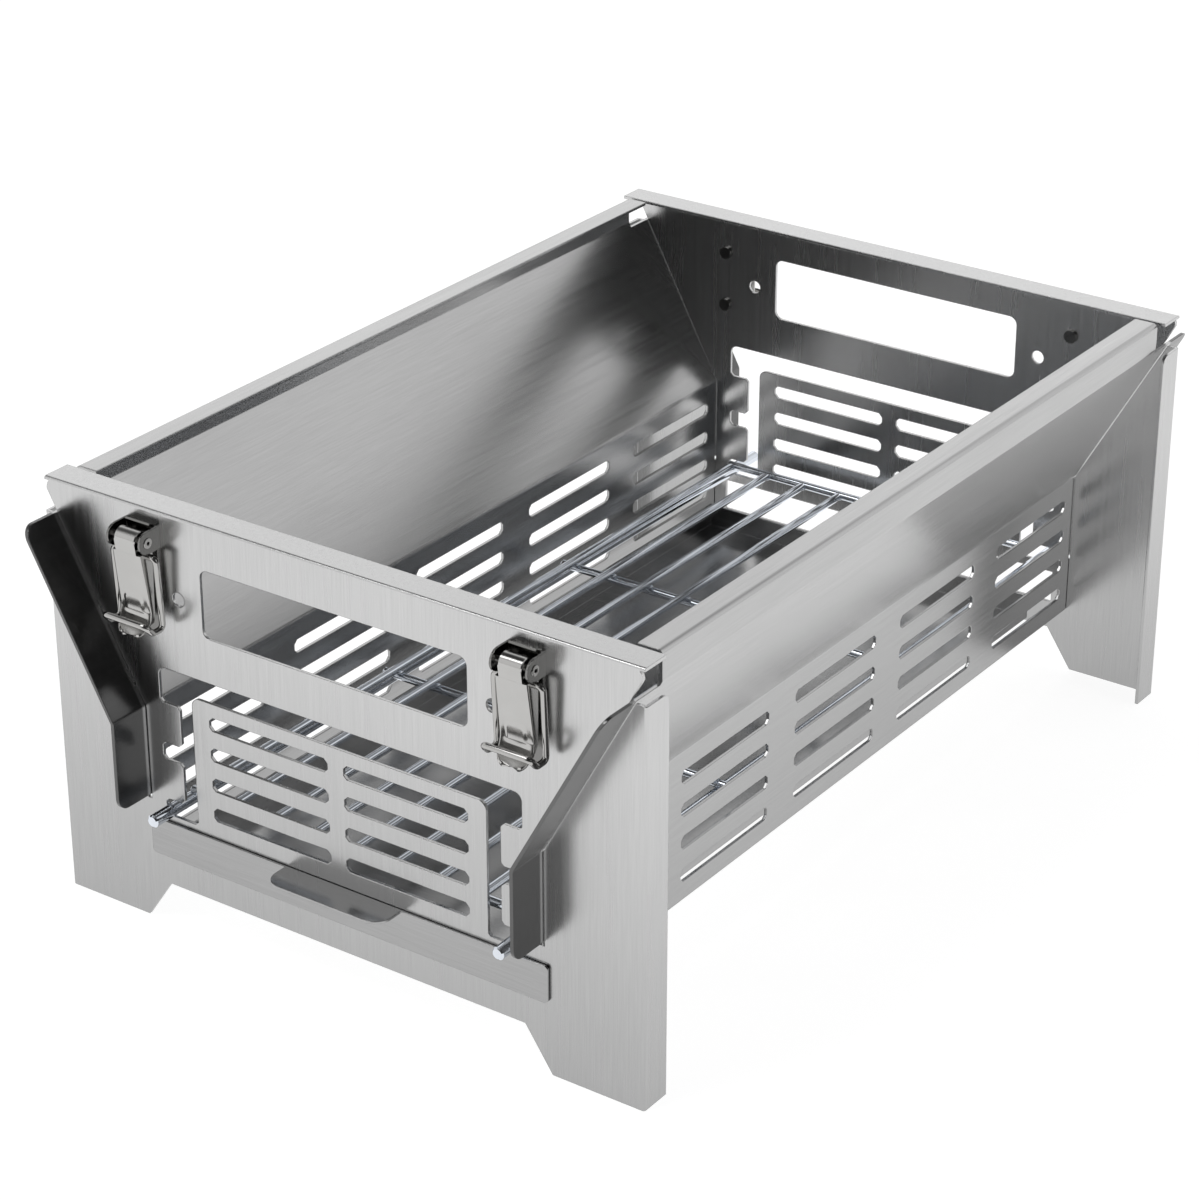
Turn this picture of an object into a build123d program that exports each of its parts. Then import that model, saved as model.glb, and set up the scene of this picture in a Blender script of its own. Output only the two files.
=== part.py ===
from build123d import *
import os
from math import atan2, cos, sqrt

# A plug-together charcoal grill: two bent side walls hang between two end plates on legs.
# The origin is on the floor below the middle of the case. X runs across the case, Y runs
# along it with the front end plate at -Y, and Z is up. All sizes are in millimetres.

# The case
case_length = 434.0
case_height = 196.0
sheet = 1.5
slide_gap = 0.4
touch_gap = 0.3
edge_round = 1.2
through_cut = 3 * sheet

# Small round stock has flat sides and slot ends have cut corners, which keeps the facets few
rod_sides = 12
roll_sides = 16
hidden_sides = 8
octagon_cut = 1 - 1 / sqrt(2)

# Side walls, measured to their outer faces
wall_top_x = 148.0
wall_top_flange = 11.5
wall_lip_height = 13.0
wall_low_x = 103.5
wall_bend_z = 102.5
wall_foot_z = 32.0
wall_bend_radius = 2.5
wall_top_inset = 16.0

# Tabs of the side walls that pass through the end plates
tab_reach = 20.0
tab_head_z = case_height - 15.0
tab_foot_z = 61.0
tab_corner = 6.0
tab_slot_depth = 1.6

# Air slots of the side walls
wall_slot_length = 66.5
wall_slot_height = 6.5
wall_slot_columns = 5
wall_slot_rows = 4
wall_slot_pitch_y = 87.3
wall_slot_pitch_z = 15.5
wall_slot_mid_z = 67.0

# End plates and their legs
plate_half_width = 150.0
plate_corner = 5.0
plate_shoulder_z = case_height - 6.0
top_flange_depth = 14.0
top_flange_overhang = 1.0
leg_half_width = 152.0
leg_top_z = case_height - 16.0
leg_flange_depth = 15.0
leg_flange_corner = 4.0
foot_inner_x = 107.5
arch_half_width = 94.0
arch_z = 19.7

# Openings of the end plates
handle_half_width = 67.8
handle_high_z = case_height - 20.0
handle_height = 31.0
handle_corner = 4.0
hole_x = 80.0
hole_z = case_height - 37.2
hole_diameter = 6.4
tray_slot_half_width = 95.0
tray_slot_low_z = 33.5
tray_slot_high_z = 49.5

# The rack opening round the slotted tongue, with three notches on each side
tongue_half_width = 76.0
tongue_top_z = 115.0
tongue_corner = 4.0
rack_half_width = 83.0
notch_half_width = 93.5
rack_top_z = 124.5
top_notch_z = 108.0
notch_pitch = 27.0
notch_height = 8.0
notch_cut = 1.5
rack_corner = 4.0
lower_notches = 2

# Air slots of the tongue
tongue_slot_length = 63.0
tongue_slot_height = 6.5
tongue_slot_pitch_x = 71.0
tongue_slot_pitch_z = 14.3
tongue_slot_mid_z = 84.0
tongue_slot_rows = 4
tongue_slot_columns = 2

# Support bars
bar_diameter = 5.8
bar_front_reach = 13.0
bar_rear_reach = 18.0
bar_chamfer = 0.7

# Charcoal grate, lying a little off the middle as in the photograph
rod_diameter = 4.0
rod_count = 9
rod_pitch = 21.3
cross_rod_pitch = 137.3
cross_rod_bays = 3
cross_rod_half_length = 93.0
weld_sink = 0.3
grate_shift_x = 3.0
grate_shift_y = -4.5

# Ash tray
tray_sheet = 1.0
tray_half_width = 92.0
tray_wall_height = 12.0
tray_rear_y = 193.0
tray_shift_x = 2.3
tray_front_half_width = 104.0
tray_front_height = 17.2
tray_front_corner = 2.0
tray_lip_width = 61.0
tray_lip_depth = 15.0
tray_lip_corner = 8.0

# Toggle latches, measured from the outer face of an end plate and from the pivot
latch_x = 97.0
latch_pivot_z = case_height - 11.0
latch_sheet = 1.0
pivot_out = 7.5
ear_radius = 5.0
ear_half_span = 9.0
base_half_width = 8.0
base_top = 4.5
base_foot = -43.5
base_foot_cut = 3.0
base_lip_rise = 2.0
base_lip_out = 3.0
base_lip_half_width = 6.5
pin_diameter = 3.0
pin_bore = 1.6
pin_head_diameter = 4.6
pin_head_height = 0.5
barrel_radius = 4.3
barrel_half_width = 5.5
lever_half_width = 7.5
lever_shoulder = -5.2
lever_bend_out = 7.5
lever_bend_drop = -32.0
lever_tip_out = 12.5
lever_tip_drop = -42.0
lever_tip_bulge = 1.2
lever_tip_cut = 3.5
lever_flange_out = 3.4
wire_diameter = 2.8
bail_pivot_out = 6.0
bail_pivot_drop = -7.0
bail_half_width = 11.5
bail_end_x = 5.8
bail_arm_out = 4.2
bail_foot_drop = -39.0
hook_reach = 6.3
hook_tip_reach = 9.8
hook_rise = 4.0
bail_bend_cut = 2.2
rivet_diameter = 4.0
rivet_head_diameter = 6.6
rivet_head_height = 1.5
rivet_tail_height = 1.0
rivet_upper_drop = -11.5
rivet_lower_drop = -39.0

end_y = case_length / 2
inner_y = end_y - sheet
lip_foot_z = case_height - wall_lip_height
slant = (wall_top_x - wall_low_x) / (lip_foot_z - wall_bend_z)
slant_angle = atan2(wall_top_x - wall_low_x, lip_foot_z - wall_bend_z)
tab_end_y = end_y + tab_reach
lowest_notch_z = top_notch_z - lower_notches * notch_pitch
bar_z = lowest_notch_z + touch_gap + bar_diameter / 2
bar_x = notch_half_width - touch_gap - bar_diameter / 2
cross_rod_z = bar_z + (bar_diameter + rod_diameter) / 2 + touch_gap
long_rod_z = cross_rod_z + rod_diameter - weld_sink
tray_foot_z = tray_slot_low_z + touch_gap


def slant_x(z):
    """X of the outer face of the slanting part of a side wall at height z."""
    return wall_low_x + (z - wall_bend_z) * slant


# One side wall: flat top flange, upright lip, slanting face and slotted upright foot
with BuildPart() as right_side_wall:
    with BuildSketch(Plane.XZ):
        with BuildLine():
            FilletPolyline(
                (wall_top_x - wall_top_flange, case_height),
                (wall_top_x, case_height),
                (wall_top_x, lip_foot_z),
                (wall_low_x, wall_bend_z),
                (wall_low_x, wall_foot_z),
                radius=wall_bend_radius,
            )
            offset(amount=sheet, side=Side.RIGHT)
        make_face()
    extrude(amount=tab_end_y, both=True)
    with BuildSketch(Plane.YZ):
        with Locations((0, (case_height + tab_foot_z) / 2)):
            Rectangle(2 * (end_y - wall_top_inset), case_height - tab_foot_z)
        with Locations((0, (tab_head_z + tab_foot_z) / 2)):
            RectangleRounded(2 * tab_end_y, tab_head_z - tab_foot_z, tab_corner)
        with Locations((0, (tab_head_z + wall_foot_z) / 2)):
            Rectangle(2 * (inner_y - slide_gap), tab_head_z - wall_foot_z)
    extrude(amount=wall_top_x, mode=Mode.INTERSECT)
    with BuildSketch(Plane.YZ.offset(wall_low_x - 2 * sheet)) as air_slots:
        with Locations((0, wall_slot_mid_z)):
            with GridLocations(wall_slot_pitch_y, wall_slot_pitch_z, wall_slot_columns, wall_slot_rows):
                Rectangle(wall_slot_length, wall_slot_height)
        chamfer(air_slots.vertices(), wall_slot_height * octagon_cut)
    extrude(amount=through_cut, mode=Mode.SUBTRACT)

with BuildPart() as left_side_wall:
    add(mirror(right_side_wall.part, about=Plane.YZ))

# One end plate: panel, slotted tongue and legs in one bent sheet
with BuildPart() as front_end_plate:
    with BuildSketch(Plane.XZ.offset(inner_y)):
        slot_mid = sheet / 2 / cos(slant_angle)
        with BuildLine():
            Polyline(
                (0, case_height),
                (plate_half_width, case_height),
                (plate_half_width, plate_shoulder_z),
                (slant_x(leg_top_z) - slot_mid, leg_top_z),
                (leg_half_width, leg_top_z),
                (leg_half_width, 0),
                (foot_inner_x, 0),
                (arch_half_width, arch_z),
                (0, arch_z),
                close=True,
            )
        panel = make_face()
        fillet(panel.vertices().group_by(Axis.Y)[-1].sort_by(Axis.X)[-1], plate_corner)
        mirror(about=Plane.YZ)
    extrude(amount=sheet)
    # slots for the wall tabs, open at the top
    with BuildSketch(Plane.XZ.offset(inner_y - sheet)):
        with BuildLine():
            FilletPolyline(
                (slant_x(case_height), case_height),
                (wall_low_x, wall_bend_z),
                (wall_low_x, tab_foot_z - tab_slot_depth),
                radius=wall_bend_radius,
            )
            offset(amount=sheet, side=Side.RIGHT)
        make_face()
        offset(amount=slide_gap, kind=Kind.INTERSECTION)
        mirror(about=Plane.YZ)
    extrude(amount=through_cut, mode=Mode.SUBTRACT)
    # hand slot, two round holes, tray slot and the rack opening round the tongue
    with BuildSketch(Plane.XZ.offset(inner_y - sheet)):
        with Locations((0, handle_high_z - handle_height / 2)):
            RectangleRounded(2 * handle_half_width, handle_height, handle_corner)
        with Locations((0, (tray_slot_low_z + tray_slot_high_z) / 2)):
            Rectangle(2 * tray_slot_half_width, tray_slot_high_z - tray_slot_low_z)
        with Locations((0, hole_z)):
            with GridLocations(2 * hole_x, 1, 2, 1):
                Circle(hole_diameter / 2)
    extrude(amount=through_cut, mode=Mode.SUBTRACT)
    with BuildSketch(Plane.XZ.offset(inner_y - sheet)) as rack_opening:
        with Locations((0, (rack_top_z + lowest_notch_z) / 2)):
            Rectangle(2 * rack_half_width, rack_top_z - lowest_notch_z)
        with Locations((0, (rack_top_z + top_notch_z) / 2)):
            Rectangle(2 * notch_half_width, rack_top_z - top_notch_z)
        for level in range(lower_notches):
            with Locations((0, lowest_notch_z + level * notch_pitch + notch_height / 2)):
                Rectangle(2 * notch_half_width, notch_height)
        with Locations((0, (tongue_top_z + lowest_notch_z) / 2)):
            Rectangle(2 * tongue_half_width, tongue_top_z - lowest_notch_z, mode=Mode.SUBTRACT)
        round_heights = (tongue_top_z, rack_top_z)
        square_corners = rack_opening.vertices().filter_by(lambda v: v.Y not in round_heights)
        chamfer(square_corners, notch_cut)
        for height, radius in zip(round_heights, (tongue_corner, rack_corner)):
            fillet(rack_opening.vertices().filter_by_position(Axis.Y, height, height), radius)
    extrude(amount=through_cut, mode=Mode.SUBTRACT)
    with BuildSketch(Plane.XZ.offset(inner_y - sheet)) as tongue_slots:
        with Locations((0, tongue_slot_mid_z)):
            with GridLocations(
                tongue_slot_pitch_x, tongue_slot_pitch_z, tongue_slot_columns, tongue_slot_rows
            ):
                Rectangle(tongue_slot_length, tongue_slot_height)
        chamfer(tongue_slots.vertices(), tongue_slot_height * octagon_cut)
    extrude(amount=through_cut, mode=Mode.SUBTRACT)
    # rivet holes of the two latches
    with BuildSketch(Plane.XZ.offset(inner_y - sheet)):
        for drop in (rivet_upper_drop, rivet_lower_drop):
            with Locations((0, latch_pivot_z + drop)):
                with GridLocations(2 * latch_x, 1, 2, 1):
                    RegularPolygon(rivet_diameter / 2, hidden_sides)
    extrude(amount=through_cut, mode=Mode.SUBTRACT)
    # top flange, bent inward
    with BuildSketch(Plane.XY.offset(case_height - sheet)):
        with Locations((0, top_flange_depth / 2 - end_y)):
            Rectangle(2 * (plate_half_width + top_flange_overhang), top_flange_depth)
    extrude(amount=sheet)
    # leg flanges, bent inward
    with BuildSketch(Plane.YZ.offset(leg_half_width - sheet)) as leg_flange:
        with Locations((leg_flange_depth / 2 - end_y, leg_top_z / 2)):
            Rectangle(leg_flange_depth, leg_top_z)
        fillet(leg_flange.vertices().group_by(Axis.Y)[-1].sort_by(Axis.X)[-1], leg_flange_corner)
    extrude(amount=sheet)
    mirror(about=Plane.YZ)
    bends = front_end_plate.edges().filter_by_position(Axis.Y, -end_y, -end_y)
    top_bend = bends.filter_by(Axis.X).group_by(Axis.Z)[-1]
    leg_bends = bends.filter_by(Axis.Z).sort_by(Axis.X)
    fillet(top_bend + leg_bends[:1] + leg_bends[-1:], edge_round)

with BuildPart() as rear_end_plate:
    add(mirror(front_end_plate.part, about=Plane.XZ))

# One round support bar in the lowest pair of notches
with BuildPart() as right_support_bar:
    with BuildSketch(Plane.XZ.offset(end_y + bar_front_reach)):
        with Locations((bar_x, bar_z)):
            Circle(bar_diameter / 2)
    extrude(amount=-(case_length + bar_front_reach + bar_rear_reach))
    chamfer(right_support_bar.edges().filter_by(GeomType.CIRCLE), bar_chamfer)

with BuildPart() as left_support_bar:
    add(mirror(right_support_bar.part, about=Plane.YZ))

# Welded grate: long rods between two end rods, on two cross rods
end_rod_y = cross_rod_bays * cross_rod_pitch / 2
with BuildPart() as charcoal_grate:
    with BuildSketch(Plane.XZ):
        with Locations((grate_shift_x, long_rod_z)):
            with GridLocations(rod_pitch, 1, rod_count, 1):
                RegularPolygon(rod_diameter / 2, rod_sides)
    extrude(amount=end_rod_y - rod_diameter / 2 + weld_sink - grate_shift_y)
    with BuildSketch(Plane.XZ):
        with Locations((grate_shift_x, long_rod_z)):
            with GridLocations(rod_pitch, 1, rod_count, 1):
                RegularPolygon(rod_diameter / 2, rod_sides)
    extrude(amount=-(end_rod_y - rod_diameter / 2 + weld_sink + grate_shift_y))
    with BuildSketch(Plane.YZ.offset(grate_shift_x)):
        with Locations((grate_shift_y, long_rod_z)):
            with GridLocations(2 * end_rod_y, 1, 2, 1):
                RegularPolygon(rod_diameter / 2, rod_sides)
    extrude(amount=((rod_count - 1) * rod_pitch + rod_diameter) / 2, both=True)
    with BuildSketch(Plane.YZ.offset(grate_shift_x)):
        with Locations((grate_shift_y, cross_rod_z)):
            with GridLocations(cross_rod_pitch, 1, 2, 1):
                RegularPolygon(rod_diameter / 2, rod_sides)
    extrude(amount=cross_rod_half_length, both=True)

# Ash tray: a shallow pan behind a wider front with a pull lip
tray_front_y = end_y + slide_gap
with BuildPart() as ash_tray:
    with BuildSketch(Plane.XY.offset(tray_foot_z)):
        with Locations((tray_shift_x, (tray_rear_y - tray_front_y) / 2)):
            Rectangle(2 * tray_half_width, tray_rear_y + tray_front_y)
    extrude(amount=tray_wall_height)
    offset(amount=-tray_sheet, openings=ash_tray.faces().sort_by(Axis.Z)[-1])
    with BuildSketch(Plane.XZ.offset(tray_front_y)):
        with Locations((tray_shift_x, tray_foot_z + tray_front_height / 2)):
            RectangleRounded(2 * tray_front_half_width, tray_front_height, tray_front_corner)
    extrude(amount=tray_sheet)
    lip_edge_y = -(tray_front_y + tray_lip_depth)
    with BuildSketch(Plane.XY.offset(tray_foot_z + tray_front_height - tray_sheet)) as pull_lip:
        with Locations((tray_shift_x, -(tray_front_y + tray_lip_depth / 2))):
            Rectangle(tray_lip_width, tray_lip_depth)
        fillet(pull_lip.vertices().group_by(Axis.Y)[0], tray_lip_corner)
    extrude(amount=tray_sheet)


# Latch base: back plate with a top lip and two pivot ears
with BuildPart() as latch_base:
    with BuildSketch(Plane.XZ) as back_plate:
        with Locations((0, (base_top + base_foot) / 2)):
            Rectangle(2 * base_half_width, base_top - base_foot)
        chamfer(back_plate.vertices().group_by(Axis.Y)[0], base_foot_cut)
        with Locations((0, rivet_upper_drop), (0, rivet_lower_drop)):
            RegularPolygon(rivet_diameter / 2, hidden_sides, mode=Mode.SUBTRACT)
    extrude(amount=latch_sheet)
    with BuildSketch(Plane.YZ):
        with BuildLine():
            Polyline(
                (0, base_top - latch_sheet),
                (0, base_top),
                (-base_lip_out, base_top + base_lip_rise),
            )
            offset(amount=latch_sheet, side=Side.LEFT)
        make_face()
    extrude(amount=base_lip_half_width, both=True)
    with BuildSketch(Plane.YZ.offset(ear_half_span)):
        with Locations((-pivot_out / 2, 0)):
            Rectangle(pivot_out, 2 * ear_radius)
        with Locations((-pivot_out, 0)):
            RegularPolygon(ear_radius, roll_sides)
            RegularPolygon(pin_diameter / 2, rod_sides, mode=Mode.SUBTRACT)
    extrude(amount=-latch_sheet)
    mirror(about=Plane.YZ)

# Hollow pivot pin riveted over the ears
with BuildPart() as latch_pin:
    with BuildSketch(Plane.YZ):
        with Locations((-pivot_out, 0)):
            RegularPolygon(pin_diameter / 2, rod_sides)
            RegularPolygon(pin_bore / 2, hidden_sides, mode=Mode.SUBTRACT)
    extrude(amount=ear_half_span + pin_head_height, both=True)
    with BuildSketch(Plane.YZ.offset(ear_half_span)):
        with Locations((-pivot_out, 0)):
            RegularPolygon(pin_head_diameter / 2, rod_sides)
            RegularPolygon(pin_bore / 2, hidden_sides, mode=Mode.SUBTRACT)
    extrude(amount=pin_head_height)
    mirror(about=Plane.YZ)

# Lever: rolled barrel, flat plate with side flanges that taper to the bend, and a scooped tip
lever_top_out = pivot_out + barrel_radius
lever_lean = (lever_bend_out - lever_top_out) / lever_bend_drop
with BuildPart() as latch_lever:
    with BuildSketch(Plane.YZ):
        with BuildLine():
            Line((-lever_top_out, 0), (-lever_bend_out, lever_bend_drop))
            SagittaArc(
                (-lever_bend_out, lever_bend_drop), (-lever_tip_out, lever_tip_drop), lever_tip_bulge
            )
            offset(amount=latch_sheet, side=Side.LEFT)
        make_face()
    extrude(amount=lever_half_width, both=True)
    with BuildSketch(Plane.XZ) as lever_front:
        with Locations((0, (lever_shoulder + lever_tip_drop) / 2)):
            Rectangle(2 * lever_half_width, lever_shoulder - lever_tip_drop)
        with Locations((0, lever_shoulder / 2)):
            Rectangle(2 * barrel_half_width, -lever_shoulder)
        chamfer(lever_front.vertices().group_by(Axis.Y)[0], lever_tip_cut)
    extrude(amount=lever_top_out + lever_tip_out, mode=Mode.INTERSECT)
    with BuildSketch(Plane.YZ.offset(lever_half_width)):
        with BuildLine():
            Polyline(
                (-lever_top_out - lever_lean * lever_shoulder, lever_shoulder),
                (-lever_bend_out, lever_bend_drop),
                (-lever_bend_out + latch_sheet, lever_bend_drop),
                (-lever_flange_out, bail_pivot_drop - wire_diameter),
                (-lever_flange_out, lever_shoulder),
                close=True,
            )
        make_face()
        with Locations((-bail_pivot_out, bail_pivot_drop)):
            Circle(wire_diameter / 2 + touch_gap, mode=Mode.SUBTRACT)
    extrude(amount=-latch_sheet)
    mirror(about=Plane.YZ)
    with BuildSketch(Plane.YZ):
        with Locations((-pivot_out, 0)):
            RegularPolygon(barrel_radius, roll_sides)
    extrude(amount=barrel_half_width, both=True)
    with BuildSketch(Plane.YZ):
        with Locations((-pivot_out, 0)):
            Circle(pin_diameter / 2 + touch_gap)
    extrude(amount=barrel_half_width, both=True, mode=Mode.SUBTRACT)


def wire_path(points, cut):
    """The points with every inner corner cut by a short straight bend."""
    corners = [Vector(*point) for point in points]
    path = corners[:1]
    for before, corner, after in zip(corners, corners[1:], corners[2:]):
        path.append(corner + (before - corner).normalized() * cut)
        path.append(corner + (after - corner).normalized() * cut)
    return path + corners[-1:]


# Wire bail: hinged on the lever flanges, with a hooked end in front of the lever tip
with BuildPart() as latch_bail:
    hook_out = bail_arm_out + hook_reach
    tip_out = bail_arm_out + hook_tip_reach
    with BuildLine() as bail_line:
        Polyline(
            wire_path(
                [
                    (bail_end_x, -bail_pivot_out, bail_pivot_drop),
                    (bail_half_width, -bail_pivot_out, bail_pivot_drop),
                    (bail_half_width, -bail_arm_out, bail_foot_drop),
                    (bail_half_width, -hook_out, bail_foot_drop),
                    (bail_half_width, -tip_out, bail_foot_drop + hook_rise),
                    (0, -tip_out, bail_foot_drop + hook_rise),
                ],
                bail_bend_cut,
            )
        )
    with BuildSketch(Plane(origin=bail_line.line @ 0, z_dir=bail_line.line % 0)):
        RegularPolygon(wire_diameter / 2, hidden_sides)
    sweep(transition=Transition.RIGHT)
    mirror(about=Plane.YZ)

# Two rivets that hold one latch on its end plate
with BuildPart() as latch_rivet_pair:
    for drop in (rivet_upper_drop, rivet_lower_drop):
        with BuildSketch(Plane.XZ.offset(latch_sheet)):
            with Locations((0, drop)):
                RegularPolygon(rivet_diameter / 2, hidden_sides)
        extrude(amount=-(latch_sheet + sheet))
        with BuildSketch(Plane.XZ.offset(latch_sheet)):
            with Locations((0, drop)):
                RegularPolygon(rivet_head_diameter / 2, rod_sides)
        extrude(amount=rivet_tail_height)
        with BuildSketch(Plane.XZ.offset(-sheet)):
            with Locations((0, drop)):
                RegularPolygon(rivet_head_diameter / 2, rod_sides)
        extrude(amount=-rivet_head_height)

# Two latches on each end plate, the rear ones turned about the upright axis
front_face = Location((0, -end_y, latch_pivot_z))
rear_face = Location((0, end_y, latch_pivot_z), (0, 0, 180))
latch_places = {
    "front_left": front_face * Location((-latch_x, 0, 0)),
    "front_right": front_face * Location((latch_x, 0, 0)),
    "rear_left": rear_face * Location((latch_x, 0, 0)),
    "rear_right": rear_face * Location((-latch_x, 0, 0)),
}
latch_pieces = {
    "latch_base": latch_base,
    "latch_pin": latch_pin,
    "latch_lever": latch_lever,
    "latch_bail": latch_bail,
}

os.makedirs("parts", exist_ok=True)

case_pieces = {
    "right_side_wall": right_side_wall,
    "left_side_wall": left_side_wall,
    "front_end_plate": front_end_plate,
    "rear_end_plate": rear_end_plate,
    "right_support_bar": right_support_bar,
    "left_support_bar": left_support_bar,
    "charcoal_grate": charcoal_grate,
    "ash_tray": ash_tray,
}
for name, piece in case_pieces.items():
    piece.part.label = name
    export_step(piece.part, f"parts/{name}.step")

for corner, place in latch_places.items():
    for name, piece in latch_pieces.items():
        with BuildPart() as placed_piece:
            add(piece.part.moved(place))
        placed_piece.part.label = f"{corner}_{name}"
        export_step(placed_piece.part, f"parts/{corner}_{name}.step")

for end in ("front", "rear"):
    with BuildPart() as end_rivets:
        for side in ("left", "right"):
            add(latch_rivet_pair.part.moved(latch_places[f"{end}_{side}"]))
    end_rivets.part.label = f"{end}_latch_rivets"
    export_step(end_rivets.part, f"parts/{end}_latch_rivets.step")
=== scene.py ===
import math

import bmesh
import bpy
from mathutils import Matrix, Vector


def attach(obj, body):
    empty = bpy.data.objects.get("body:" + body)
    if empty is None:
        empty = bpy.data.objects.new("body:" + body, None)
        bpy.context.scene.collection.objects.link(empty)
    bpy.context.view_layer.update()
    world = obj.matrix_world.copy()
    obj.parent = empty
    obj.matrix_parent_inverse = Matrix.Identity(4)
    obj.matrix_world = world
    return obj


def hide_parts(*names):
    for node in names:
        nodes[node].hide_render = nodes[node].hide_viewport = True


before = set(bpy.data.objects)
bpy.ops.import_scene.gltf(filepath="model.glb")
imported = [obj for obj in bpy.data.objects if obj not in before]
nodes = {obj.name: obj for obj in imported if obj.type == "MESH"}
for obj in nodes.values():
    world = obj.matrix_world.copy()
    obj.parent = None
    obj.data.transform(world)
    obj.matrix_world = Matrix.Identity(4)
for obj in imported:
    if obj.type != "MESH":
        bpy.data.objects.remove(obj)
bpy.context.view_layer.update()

# Lengths are in metres, apart from the lens and its film width, which are in millimetres
MM = 0.001

# Camera, found from the corners of both end plates in the photograph
CAMERA_PLACE = Vector((0.79376, -1.15689, 0.78519))
CAMERA_TARGET = Vector((0.0955, -0.1673, 0.1886))
CAMERA_LENS = 104.24
CAMERA_FILM = 36.0
CAMERA_NEAR = 50.0 * MM

# Sides of the grill, and which way each one lies from the middle
SIDE_WAY = {"left": -1.0, "right": 1.0}
END_WAY = {"front": -1.0, "rear": 1.0}

# Fineness of round pieces, and when points are one and edges sharp
ROUND_SIDES = 32
MERGE_DISTANCE = 0.001 * MM
SHARP_ANGLE = math.radians(40.0)

BAR_RADIUS = 2.9 * MM
BAR_CHAMFER = 0.7 * MM
BAR_PLACE_X = 90.3 * MM
BAR_PLACE_Z = 57.2 * MM
BAR_ENDS_Y = (-230.0 * MM, 235.0 * MM)

ROD_RADIUS = 2.0 * MM
ROD_COUNT = 9
ROD_PITCH = 21.3 * MM
ROD_END_ROUNDING = 0.5 * MM
GRATE_X = 3.0 * MM
GRATE_Y = -4.5 * MM
LONG_ROD_Z = 66.1 * MM
CROSS_ROD_Z = 62.4 * MM
END_ROD_Y = 205.95 * MM
CROSS_ROD_Y = 68.65 * MM
LONG_ROD_HALF = 204.25 * MM
END_ROD_HALF = 87.2 * MM
CROSS_ROD_HALF = 93.0 * MM
WELD_SIZE = (1.7 * MM, 1.7 * MM, 0.7 * MM)
WELD_SPREAD = 1.3
WELD_SEGMENTS = 12
WELD_RINGS = 8

# Latch lengths: x across, out from the end plate's face, z from the pivot
LATCH_X = 97.0 * MM
PLATE_FACE_Y = 217.0 * MM
PIVOT_Z = 185.0 * MM
PIVOT_OUT = 7.5 * MM
PIN_RADIUS = 1.5 * MM
PIN_BORE = 0.8 * MM
PIN_HEAD = 2.3 * MM
PIN_HALF = 9.0 * MM
PIN_HEAD_HEIGHT = 0.5 * MM
PIN_CROWN = 0.35 * PIN_HEAD_HEIGHT
BARREL_RADIUS = 4.3 * MM
BARREL_BORE = 1.8 * MM
BARREL_HALF = 5.5 * MM
BARREL_EDGE = 0.35 * MM
NECK_ROWS = 8
NECK_PITCH = 1.0 * MM
NECK_SET_BACK = 0.02 * MM

# The lever's plate runs from its shoulder to its bend, and its scoop from there to its tip
LEVER_HALF = 7.5 * MM
LEVER_BEND_HALF = 8.3 * MM
LEVER_TIP_HALF = 4.0 * MM
LEVER_SHEET = 1.0 * MM
LEVER_TOP_OUT = 11.8 * MM
LEVER_SHOULDER = -5.2 * MM
LEVER_BEND = (7.5 * MM, -32.0 * MM)
LEVER_TIP = (12.5 * MM, -42.0 * MM)
LEVER_TIP_BULGE = 1.2 * MM
LEVER_TIP_NARROWS_FROM = 0.45
LEVER_FLANGE_OUT = 3.4 * MM
LEVER_FLANGE_TAPER = 1.6 * MM
SCOOP_FLANGE = 2.5 * MM
SCOOP_FLANGE_CURVE = 1.5
TIP_FLANGE = 0.2 * MM
LEVER_CORNER = 0.8 * MM
LEVER_CORNER_STEPS = 4
LEVER_ROWS = 140
LEVER_COLUMNS = 40
PRESSED_ARCH = (4.6 * MM, 7.0 * MM)
PRESSED_CORNER = 2.4 * MM
PRESSED_EDGE = 1.6 * MM
PRESSED_HEIGHT = 0.45 * MM
PRESSED_END_RATE = 8.0
SCOOP_DISH = 0.8 * MM
SCOOP_START_RATE = 3.0

WIRE_RADIUS = 1.4 * MM
WIRE_BEND = 2.6 * MM
WIRE_BEND_STEPS = 6
WIRE_END_ROUNDING = 0.3 * MM
WIRE_POINTS = [
    (5.8 * MM, 6.0 * MM, -7.0 * MM),
    (11.5 * MM, 6.0 * MM, -7.0 * MM),
    (11.5 * MM, 4.2 * MM, -39.0 * MM),
    (11.5 * MM, 10.5 * MM, -39.0 * MM),
    (11.5 * MM, 14.0 * MM, -35.0 * MM),
]

# The part of a noise's range that its patterns fill
NOISE_LOW = 0.3
NOISE_HIGH = 0.7
EVENLY = (1.0, 1.0, 1.0)
EDGE_SAMPLES = 8

# Brushed sheet: pattern scales and details, swings of tone and roughness, soft edges
GRAIN_LENGTH = 0.02
GRAIN = (2200.0, 3.0)
STREAKS = (500.0, 2.0)
SHEET_CLOUDS = (7.0, 3.0)
GRAIN_SWING = 0.02
SHEET_CLOUD_SWING = 0.015
SHEET_GLOSSIER = 0.02
SHEET_DULLER = 0.03
GRAIN_BUMP = 0.05
GRAIN_DEPTH = 0.01 * MM
SHEET_EDGE = 0.6 * MM

# Painted shade on the sheet: its share of its tone at the floor, rising to all of it, and on the tabs
# outside the end plates
PAINTED_SHADE_AT_FLOOR = 0.72
PAINTED_SHADE_TOP_Z = 150.0 * MM
TAB_PAINTED_SHADE_TONE = 0.30
TAB_SHADE_FROM = 218.5 * MM
TAB_SHADE_EDGE = 1.0 * MM

# Plating: pattern scales and details, the darker tone of its clouds and swings of roughness
PLATING_CLOUDS = (60.0, 3.0)
SPECK_DETAIL = 2.0
CLOUD_TONE = 0.93
PLATING_GLOSSIER = 0.01
PLATING_DULLER = 0.02
STAMPING_EDGE = 0.3 * MM

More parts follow.
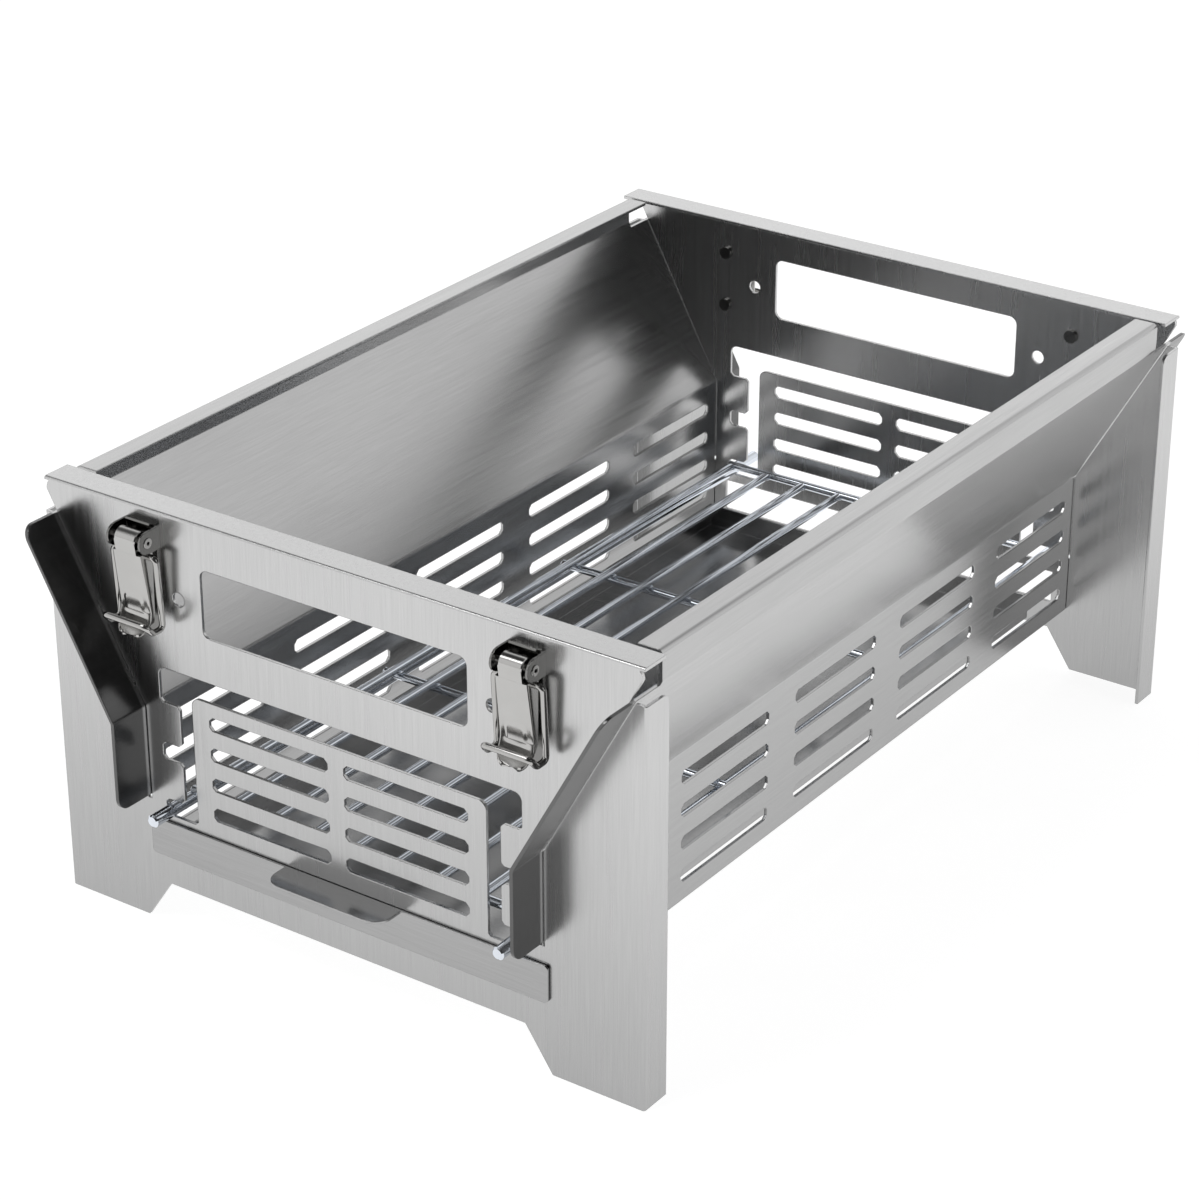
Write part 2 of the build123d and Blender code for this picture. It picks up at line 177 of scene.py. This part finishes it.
FLOOR_SIZE = 8.0
FLOOR_Z = -0.5 * MM
LIGHT_AIM = Vector((0.0, 0.0, 0.1))
TOWARD_CAMERA = (0.578, -0.816, 0.0)


def new_material(name):
    """A material without nodes but its output, with its node tree."""
    material = bpy.data.materials.new(name)
    material.use_nodes = True
    tree = material.node_tree
    tree.nodes.clear()
    output = tree.nodes.new("ShaderNodeOutputMaterial")
    return material, tree, output


def add_node(tree, kind, **values):
    """Adds a node and sets its properties and its input sockets by name."""
    node = tree.nodes.new(kind)
    for key, value in values.items():
        if hasattr(node, key):
            setattr(node, key, value)
        else:
            node.inputs[key.replace("_", " ")].default_value = value
    return node


def stretched_noise(tree, coordinates, stretch, scale, detail):
    """Noise drawn out along one axis, for grain and streaks."""
    mapping = add_node(tree, "ShaderNodeMapping", Scale=stretch)
    noise = add_node(tree, "ShaderNodeTexNoise", Scale=scale, Detail=detail)
    tree.links.new(coordinates, mapping.inputs["Vector"])
    tree.links.new(mapping.outputs["Vector"], noise.inputs["Vector"])
    return noise.outputs["Fac"]


def ramp(tree, value, start, end, first, last, curve="LINEAR"):
    """What the value gives on a ramp from first at start to last at end."""
    node = add_node(tree, "ShaderNodeMapRange", interpolation_type=curve,
                    From_Min=start, From_Max=end, To_Min=first, To_Max=last)
    tree.links.new(value, node.inputs["Value"])
    return node.outputs["Result"]


def spread(tree, noise, low, high):
    """The noise's filled range moved on to low to high."""
    return ramp(tree, noise, NOISE_LOW, NOISE_HIGH, low, high)


def combined(tree, operation, first, second):
    """Both values put together by the operation."""
    node = add_node(tree, "ShaderNodeMath", operation=operation)
    tree.links.new(first, node.inputs[0])
    tree.links.new(second, node.inputs[1])
    return node.outputs["Value"]


def brushed_steel(name, stretch, tone, rough, shade_from=None):
    """Brushed sheet steel: fine grain, cloudy tone and soft edges, with painted shade darker near the
    floor.

    With shade_from it also gets painted shade further than that from the grill's middle, to the front and
    rear.
    """
    material, tree, output = new_material(name)
    place = add_node(tree, "ShaderNodeTexCoord").outputs["Object"]
    grain = stretched_noise(tree, place, stretch, *GRAIN)
    streaks = stretched_noise(tree, place, stretch, *STREAKS)
    clouds = stretched_noise(tree, place, EVENLY, *SHEET_CLOUDS)
    shader = add_node(tree, "ShaderNodeBsdfPrincipled", Metallic=1.0)

    fine_tone = spread(tree, grain, -GRAIN_SWING, GRAIN_SWING)
    broad_tone = spread(tree, clouds, tone - SHEET_CLOUD_SWING, tone + SHEET_CLOUD_SWING)
    own_tone = combined(tree, "ADD", fine_tone, broad_tone)
    split = add_node(tree, "ShaderNodeSeparateXYZ")
    tree.links.new(place, split.inputs["Vector"])
    # Painted shade: the tone falls off towards the floor
    painted_shade_by_height = ramp(tree, split.outputs["Z"], 0.0, PAINTED_SHADE_TOP_Z, PAINTED_SHADE_AT_FLOOR, 1.0)
    shown_tone = combined(tree, "MULTIPLY", own_tone, painted_shade_by_height)
    # Painted shade on the tabs outside the end plates, standing in for their shadow
    if shade_from is not None:
        distance = add_node(tree, "ShaderNodeMath", operation="ABSOLUTE")
        tree.links.new(split.outputs["Y"], distance.inputs[0])
        shade_full = shade_from + TAB_SHADE_EDGE
        tab_painted_shade = ramp(tree, distance.outputs["Value"], shade_from, shade_full, 1.0, TAB_PAINTED_SHADE_TONE)
        shown_tone = combined(tree, "MULTIPLY", shown_tone, tab_painted_shade)
    colour = add_node(tree, "ShaderNodeCombineColor")
    for channel in ("Red", "Green", "Blue"):
        tree.links.new(shown_tone, colour.inputs[channel])
    tree.links.new(colour.outputs["Color"], shader.inputs["Base Color"])

    roughness = spread(tree, streaks, rough - SHEET_GLOSSIER, rough + SHEET_DULLER)
    tree.links.new(roughness, shader.inputs["Roughness"])
    edge = add_node(tree, "ShaderNodeBevel", samples=EDGE_SAMPLES, Radius=SHEET_EDGE)
    bump = add_node(tree, "ShaderNodeBump", Strength=GRAIN_BUMP, Distance=GRAIN_DEPTH)
    tree.links.new(grain, bump.inputs["Height"])
    tree.links.new(edge.outputs["Normal"], bump.inputs["Normal"])
    tree.links.new(bump.outputs["Normal"], shader.inputs["Normal"])
    tree.links.new(shader.outputs["BSDF"], output.inputs["Surface"])
    return material


def plated_steel(name, colour, rough, speckle, edge_radius=0.0):
    """Bright plating with faint clouds and small scratches, and softened edges where a radius is given."""
    material, tree, output = new_material(name)
    place = add_node(tree, "ShaderNodeTexCoord").outputs["Object"]
    clouds = stretched_noise(tree, place, EVENLY, *PLATING_CLOUDS)
    specks = stretched_noise(tree, place, EVENLY, speckle, SPECK_DETAIL)
    shader = add_node(tree, "ShaderNodeBsdfPrincipled", Metallic=1.0)
    dark = tuple(CLOUD_TONE * part for part in colour)
    blend = add_node(tree, "ShaderNodeMix", data_type="RGBA", A=(*dark, 1.0), B=(*colour, 1.0))
    tree.links.new(spread(tree, clouds, 0.0, 1.0), blend.inputs["Factor"])
    tree.links.new(blend.outputs["Result"], shader.inputs["Base Color"])
    roughness = spread(tree, specks, rough - PLATING_GLOSSIER, rough + PLATING_DULLER)
    tree.links.new(roughness, shader.inputs["Roughness"])
    if edge_radius > 0.0:
        edge = add_node(tree, "ShaderNodeBevel", samples=EDGE_SAMPLES, Radius=edge_radius)
        tree.links.new(edge.outputs["Normal"], shader.inputs["Normal"])
    tree.links.new(shader.outputs["BSDF"], output.inputs["Surface"])
    return material


def assign(material, *names):
    """Gives the part's own pieces of these names the material."""
    for name in names:
        mesh = nodes[name].data
        mesh.materials.clear()
        mesh.materials.append(material)


def add_piece(name, shape, material, body, stands_for):
    """Makes a smooth piece of the finished shape, which rides on the body and stands for a plainer one."""
    bmesh.ops.remove_doubles(shape, verts=shape.verts, dist=MERGE_DISTANCE)
    bmesh.ops.recalc_face_normals(shape, faces=shape.faces)
    mesh = bpy.data.meshes.new(name)
    shape.to_mesh(mesh)
    shape.free()
    mesh.polygons.foreach_set("use_smooth", [True] * len(mesh.polygons))
    mesh.set_sharp_from_angle(angle=SHARP_ANGLE)
    mesh.materials.append(material)
    piece = bpy.data.objects.new(name, mesh)
    bpy.context.scene.collection.objects.link(piece)
    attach(piece, body)
    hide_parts(stands_for)


def join_rings(shape, rings, closed):
    """Skins a row of equal rings of vertices; closed rings go all round."""
    for ring, following in zip(rings, rings[1:]):
        count = len(ring)
        for index in range(count if closed else count - 1):
            after = (index + 1) % count
            shape.faces.new((ring[index], ring[after], following[after], following[index]))


def add_tube(shape, points, radius, end_rounding):
    """A round rod or wire along the points, with slightly rounded ends."""
    places = [Vector(point) for point in points]
    first = (places[1] - places[0]).normalized()
    last = (places[-1] - places[-2]).normalized()
    places[0:1] = [places[0], places[0] + first * end_rounding]
    places[-1:] = [places[-1] - last * end_rounding, places[-1]]
    radii = [radius] * len(places)
    radii[0] = radii[-1] = radius - end_rounding
    side = first.orthogonal().normalized()
    rings = []
    for index, place in enumerate(places):
        before = places[max(index - 1, 0)]
        after = places[min(index + 1, len(places) - 1)]
        ahead = (after - before).normalized()
        side = (side - ahead * side.dot(ahead)).normalized()
        across = ahead.cross(side)
        ring = []
        for step in range(ROUND_SIDES):
            turn = math.tau * step / ROUND_SIDES
            offset = side * math.cos(turn) + across * math.sin(turn)
            ring.append(shape.verts.new(place + offset * radii[index]))
        rings.append(ring)
    join_rings(shape, rings, True)
    shape.faces.new(rings[0])
    shape.faces.new(rings[-1])


def add_turned(shape, centre, outline):
    """Turns a closed outline of (along x, radius) pairs about a line across the grill."""
    corners = [shape.verts.new(centre + Vector((along, radius, 0.0))) for along, radius in outline]
    edges = [shape.edges.new(pair) for pair in zip(corners, corners[1:] + corners[:1])]
    bmesh.ops.spin(shape, geom=corners + edges, cent=centre, axis=(1.0, 0.0, 0.0),
                   angle=math.tau, steps=ROUND_SIDES, use_merge=True)


def other_half(points):
    """The points mirrored across the middle, from the last to the first."""
    return [(-point[0], *point[1:]) for point in reversed(points)]


def bent(points, bend, steps):
    """The points of a line with an arc of the bend's radius at each inner corner."""
    rounded = [Vector(points[0])]
    for before, corner, after in zip(points, points[1:], points[2:]):
        back = before - corner
        ahead = after - corner
        angle = back.angle(ahead)
        reach = bend / math.tan(angle / 2)
        reach = min(reach, back.length / 2, ahead.length / 2)
        start = corner + back.normalized() * reach
        end = corner + ahead.normalized() * reach
        for step in range(steps + 1):
            part = step / steps
            first = start.lerp(corner, part)
            second = corner.lerp(end, part)
            rounded.append(first.lerp(second, part))
    rounded.append(Vector(points[-1]))
    return rounded


def latch_place(end, side, x, out, z):
    """A latch's own x, out and z as a place on the grill."""
    return Vector((SIDE_WAY[side] * LATCH_X + x, END_WAY[end] * (PLATE_FACE_Y + out), PIVOT_Z + z))


def make_grate(material):
    """The welded grate: long rods between two end rods, on two cross rods, with weld beads."""
    shape = bmesh.new()
    rod_places = [GRATE_X + (index - (ROD_COUNT - 1) / 2) * ROD_PITCH for index in range(ROD_COUNT)]
    for x in rod_places:
        ends = [(x, GRATE_Y + way * LONG_ROD_HALF, LONG_ROD_Z) for way in (-1, 1)]
        add_tube(shape, ends, ROD_RADIUS, ROD_END_ROUNDING)
        for way in (-1, 1):
            welds = (
                (GRATE_Y + way * CROSS_ROD_Y, (LONG_ROD_Z + CROSS_ROD_Z) / 2),
                (GRATE_Y + way * (END_ROD_Y - ROD_RADIUS), LONG_ROD_Z - ROD_RADIUS / 2),
            )
            for y, z in welds:
                place = Matrix.Translation((x, y, z)) @ Matrix.Diagonal((*WELD_SIZE, 1.0))
                bmesh.ops.create_uvsphere(shape, u_segments=WELD_SEGMENTS, v_segments=WELD_RINGS,
                                          radius=WELD_SPREAD, matrix=place)
    rods_across = ((END_ROD_Y, LONG_ROD_Z, END_ROD_HALF), (CROSS_ROD_Y, CROSS_ROD_Z, CROSS_ROD_HALF))
    for way in (-1, 1):
        for y, z, half in rods_across:
            ends = [(GRATE_X + side * half, GRATE_Y + way * y, z) for side in (-1, 1)]
            add_tube(shape, ends, ROD_RADIUS, ROD_END_ROUNDING)
    add_piece("grate_rods", shape, material, "grate", "charcoal_grate")


def make_bar(side, material):
    """A round support bar with chamfered ends."""
    shape = bmesh.new()
    x = SIDE_WAY[side] * BAR_PLACE_X
    add_tube(shape, [(x, y, BAR_PLACE_Z) for y in BAR_ENDS_Y], BAR_RADIUS, BAR_CHAMFER)
    add_piece(f"{side}_round_bar", shape, material, f"{side}_bar", f"{side}_support_bar")


def make_wire(end, side, material):
    """The bail: one wire bent to both arms and the hook between them."""
    corners = [latch_place(end, side, *point) for point in WIRE_POINTS + other_half(WIRE_POINTS)]
    shape = bmesh.new()
    add_tube(shape, bent(corners, WIRE_BEND, WIRE_BEND_STEPS), WIRE_RADIUS, WIRE_END_ROUNDING)
    name = f"{end}_{side}"
    add_piece(f"{name}_wire", shape, material, f"{name}_bail", f"{name}_latch_bail")


def make_pin(end, side, material):
    """The hollow pivot pin with its two rolled heads."""
    half = [
        (PIN_HALF, PIN_RADIUS),
        (PIN_HALF, PIN_HEAD - PIN_CROWN),
        (PIN_HALF + PIN_CROWN, PIN_HEAD),
        (PIN_HALF + PIN_HEAD_HEIGHT - PIN_CROWN, PIN_HEAD - PIN_CROWN / 2),
        (PIN_HALF + PIN_HEAD_HEIGHT, PIN_BORE + 3 * PIN_CROWN),
        (PIN_HALF + PIN_HEAD_HEIGHT - PIN_CROWN, PIN_BORE),
    ]
    shape = bmesh.new()
    add_turned(shape, latch_place(end, side, 0.0, PIVOT_OUT, 0.0), half + other_half(half))
    name = f"{end}_{side}"
    add_piece(f"{name}_pivot", shape, material, f"{end}_end", f"{name}_latch_pin")


def smooth_step(value):
    """0 below 0, 1 above 1 and an S between."""
    value = min(max(value, 0.0), 1.0)
    return value * value * (3.0 - 2.0 * value)


def pressed_height(x, z):
    """How far the arch pressed into the lever above its bend stands out."""
    half, height = PRESSED_ARCH
    rise = z - LEVER_BEND[1]
    over_x = max(abs(x) - (half - PRESSED_CORNER), 0.0)
    over_z = max(rise - (height - PRESSED_CORNER), 0.0)
    outside = math.hypot(over_x, over_z) - PRESSED_CORNER
    return PRESSED_HEIGHT * smooth_step(0.5 - outside / PRESSED_EDGE)


def plate_out(z):
    """How far out the face of the lever's plate is at the height z."""
    return LEVER_TOP_OUT + (LEVER_BEND[0] - LEVER_TOP_OUT) * z / LEVER_BEND[1]


def lever_row(level):
    """The lever's face, height, half width and flange depth: shoulder at 0, bend at 1 and tip at 2."""
    if level <= 1.0:
        z = LEVER_SHOULDER + level * (LEVER_BEND[1] - LEVER_SHOULDER)
        out = plate_out(z)
        flange = out - LEVER_FLANGE_OUT - LEVER_FLANGE_TAPER * level
        return out, z, LEVER_HALF + level * (LEVER_BEND_HALF - LEVER_HALF), flange
    part = level - 1.0
    out = LEVER_BEND[0] + part * (LEVER_TIP[0] - LEVER_BEND[0]) - 4 * LEVER_TIP_BULGE * part * (1 - part)
    z = LEVER_BEND[1] + part * (LEVER_TIP[1] - LEVER_BEND[1])
    late = max((part - LEVER_TIP_NARROWS_FROM) / (1.0 - LEVER_TIP_NARROWS_FROM), 0.0)
    narrower = 1.0 - math.sqrt(max(1.0 - late * late, 0.0))
    half = LEVER_BEND_HALF - (LEVER_BEND_HALF - LEVER_TIP_HALF) * narrower
    flange = SCOOP_FLANGE * (1.0 - part) ** SCOOP_FLANGE_CURVE + TIP_FLANGE
    return out, z, half, flange


def lever_line(level):
    """The height of one line across the lever and its (x, out) points from flange to flange."""
    out, z, half_width, flange = lever_row(level)
    corner = min(LEVER_CORNER, flange)
    edge = [(half_width, out - flange), (half_width, out - (flange + corner) / 2)]
    for step in range(LEVER_CORNER_STEPS + 1):
        turn = math.radians(90.0 * step / LEVER_CORNER_STEPS)
        edge.append((half_width - corner * (1 - math.cos(turn)), out - corner * (1 - math.sin(turn))))
    reach = half_width - corner
    past_bend = level - 1.0
    face = []
    for step in range(1, LEVER_COLUMNS):
        x = reach * (1 - 2 * step / LEVER_COLUMNS)
        dish = SCOOP_DISH * smooth_step(SCOOP_START_RATE * past_bend) * (1 - (x / reach) ** 2)
        pressed = pressed_height(x, z) * smooth_step(1.0 - PRESSED_END_RATE * past_bend)
        face.append((x, out - dish + pressed))
    return z, edge + face + other_half(edge)


def make_lever(end, side, material):
    """The lever: rolled barrel, neck, flat plate with a pressed arch, side flanges and scooped tip."""
    shape = bmesh.new()
    centre = latch_place(end, side, 0.0, PIVOT_OUT, 0.0)
    half = [
        (BARREL_HALF, BARREL_BORE),
        (BARREL_HALF, BARREL_RADIUS - BARREL_EDGE),
        (BARREL_HALF - BARREL_EDGE, BARREL_RADIUS),
    ]
    add_turned(shape, centre, half + other_half(half))
    barrel = set(shape.faces)

    sheet = []
    for row in range(LEVER_ROWS + 1):
        z, line = lever_line(2.0 * row / LEVER_ROWS)
        sheet.append([shape.verts.new(latch_place(end, side, x, out, z)) for x, out in line])
    join_rings(shape, sheet, False)
    neck = []
    for row in range(NECK_ROWS):
        z = -row * NECK_PITCH
        out = plate_out(z) - NECK_SET_BACK
        places = [latch_place(end, side, x, out, z) for x in (BARREL_HALF, -BARREL_HALF)]
        neck.append([shape.verts.new(place) for place in places])
    join_rings(shape, neck, False)

    skin = [face for face in shape.faces if face not in barrel]
    bmesh.ops.recalc_face_normals(shape, faces=skin)
    middle_face = min(skin, key=lambda face: abs(face.calc_center_median().x - centre.x))
    if middle_face.normal.y * END_WAY[end] < 0.0:
        bmesh.ops.reverse_faces(shape, faces=skin)
    bmesh.ops.solidify(shape, geom=skin, thickness=LEVER_SHEET)
    name = f"{end}_{side}"
    add_piece(f"{name}_plate_and_barrel", shape, material, f"{name}_lever", f"{name}_latch_lever")


def seen_white(name, tone, glow):
    """Pale matt surface that looks white to the camera and in the steel, and still takes a shadow."""
    material, tree, output = new_material(name)
    matt = add_node(tree, "ShaderNodeBsdfDiffuse", Color=(tone, tone, tone, 1.0))
    white = add_node(tree, "ShaderNodeEmission", Color=(1.0, 1.0, 1.0, 1.0))
    ray = add_node(tree, "ShaderNodeLightPath")
    seen = ray.outputs["Is Camera Ray"]
    for kind in ("Is Glossy Ray", "Is Transmission Ray"):
        seen = combined(tree, "MAXIMUM", seen, ray.outputs[kind])
    strength = add_node(tree, "ShaderNodeMath", operation="MULTIPLY")
    strength.inputs[1].default_value = glow
    tree.links.new(seen, strength.inputs[0])
    tree.links.new(strength.outputs["Value"], white.inputs["Strength"])
    both = add_node(tree, "ShaderNodeAddShader")
    tree.links.new(matt.outputs["BSDF"], both.inputs[0])
    tree.links.new(white.outputs["Emission"], both.inputs[1])
    tree.links.new(both.outputs["Shader"], output.inputs["Surface"])
    return material


def make_floor():
    """A wide pale floor just under the feet."""
    bpy.ops.mesh.primitive_plane_add(size=FLOOR_SIZE, location=(0.0, 0.0, FLOOR_Z))
    floor = bpy.context.object
    floor.name = "floor"
    floor.data.materials.append(seen_white("pale_floor", tone=0.34, glow=0.90))


def area_light(name, place, size, power):
    """A soft light panel turned to the middle of the grill."""
    light = bpy.data.lights.new(name, "AREA")
    light.shape = "RECTANGLE"
    light.size, light.size_y = size
    light.energy = power
    lamp = bpy.data.objects.new(name, light)
    lamp.location = place
    lamp.rotation_euler = (LIGHT_AIM - Vector(place)).to_track_quat("-Z", "Y").to_euler()
    bpy.context.scene.collection.objects.link(lamp)


def make_world():
    """Studio surroundings: white behind the grill, dark overhead and behind the photographer."""
    world = bpy.data.worlds.new("studio")
    bpy.context.scene.world = world
    world.use_nodes = True
    tree = world.node_tree
    tree.nodes.clear()
    output = tree.nodes.new("ShaderNodeOutputWorld")
    direction = add_node(tree, "ShaderNodeTexCoord").outputs["Generated"]
    split = add_node(tree, "ShaderNodeSeparateXYZ")
    tree.links.new(direction, split.inputs["Vector"])
    overhead = ramp(tree, split.outputs["Z"], start=0.55, end=0.80, first=1.15, last=0.05,
                    curve="SMOOTHSTEP")
    toward = add_node(tree, "ShaderNodeVectorMath", operation="DOT_PRODUCT")
    toward.inputs[1].default_value = TOWARD_CAMERA
    tree.links.new(direction, toward.inputs[0])
    behind = ramp(tree, toward.outputs["Value"], start=0.42, end=0.80, first=1.0, last=0.05,
                  curve="SMOOTHSTEP")
    studio = add_node(tree, "ShaderNodeBackground")
    tree.links.new(combined(tree, "MULTIPLY", overhead, behind), studio.inputs["Strength"])
    tree.links.new(studio.outputs["Background"], output.inputs["Surface"])


def make_camera():
    """The photograph's camera."""
    camera = bpy.data.cameras.new("camera")
    camera.lens = CAMERA_LENS
    camera.sensor_width = CAMERA_FILM
    camera.clip_start = CAMERA_NEAR
    holder = bpy.data.objects.new("camera", camera)
    holder.location = CAMERA_PLACE
    holder.rotation_euler = (CAMERA_TARGET - CAMERA_PLACE).to_track_quat("-Z", "Y").to_euler()
    bpy.context.scene.collection.objects.link(holder)
    bpy.context.scene.camera = holder


upright_grain = brushed_steel("steel_upright_grain", (1.0, 1.0, GRAIN_LENGTH), tone=0.57, rough=0.25)
long_grain = brushed_steel("steel_long_grain", (1.0, GRAIN_LENGTH, 1.0), tone=0.50, rough=0.24,
                           shade_from=TAB_SHADE_FROM)
tray_grain = brushed_steel("steel_tray_grain", (GRAIN_LENGTH, 1.0, 1.0), tone=0.48, rough=0.20)
rod_plating = plated_steel("rod_plating", (0.74, 0.78, 0.84), rough=0.10, speckle=900.0)
latch_plating = plated_steel("latch_plating", (0.50, 0.495, 0.485), rough=0.16, speckle=1400.0)
# The latch bases and rivets get a darker plating: painted shade for the shadow they sit in
latch_stamping_painted_shade = plated_steel("latch_stamping_painted_shade", (0.22, 0.218, 0.212), rough=0.16, speckle=1400.0,
                              edge_radius=STAMPING_EDGE)
wire_plating = plated_steel("wire_plating", (0.46, 0.455, 0.445), rough=0.06, speckle=1400.0)

assign(upright_grain, "front_end_plate", "rear_end_plate")
assign(long_grain, "right_side_wall", "left_side_wall")
assign(tray_grain, "ash_tray")
make_grate(rod_plating)
for side in SIDE_WAY:
    make_bar(side, rod_plating)
for end in END_WAY:
    assign(latch_stamping_painted_shade, f"{end}_latch_rivets")
    for side in SIDE_WAY:
        assign(latch_stamping_painted_shade, f"{end}_{side}_latch_base")
        make_wire(end, side, wire_plating)
        make_pin(end, side, latch_plating)
        make_lever(end, side, latch_plating)

make_floor()
make_world()
area_light("key_light", place=(-0.8, -1.2, 2.3), size=(1.2, 0.9), power=14.0)
area_light("rear_light", place=(-1.6, 2.0, 1.2), size=(2.4, 0.6), power=1.5)
area_light("side_light", place=(2.4, 0.2, 0.5), size=(0.5, 0.6), power=5.0)
make_camera()
bpy.context.scene.view_settings.view_transform = "Standard"
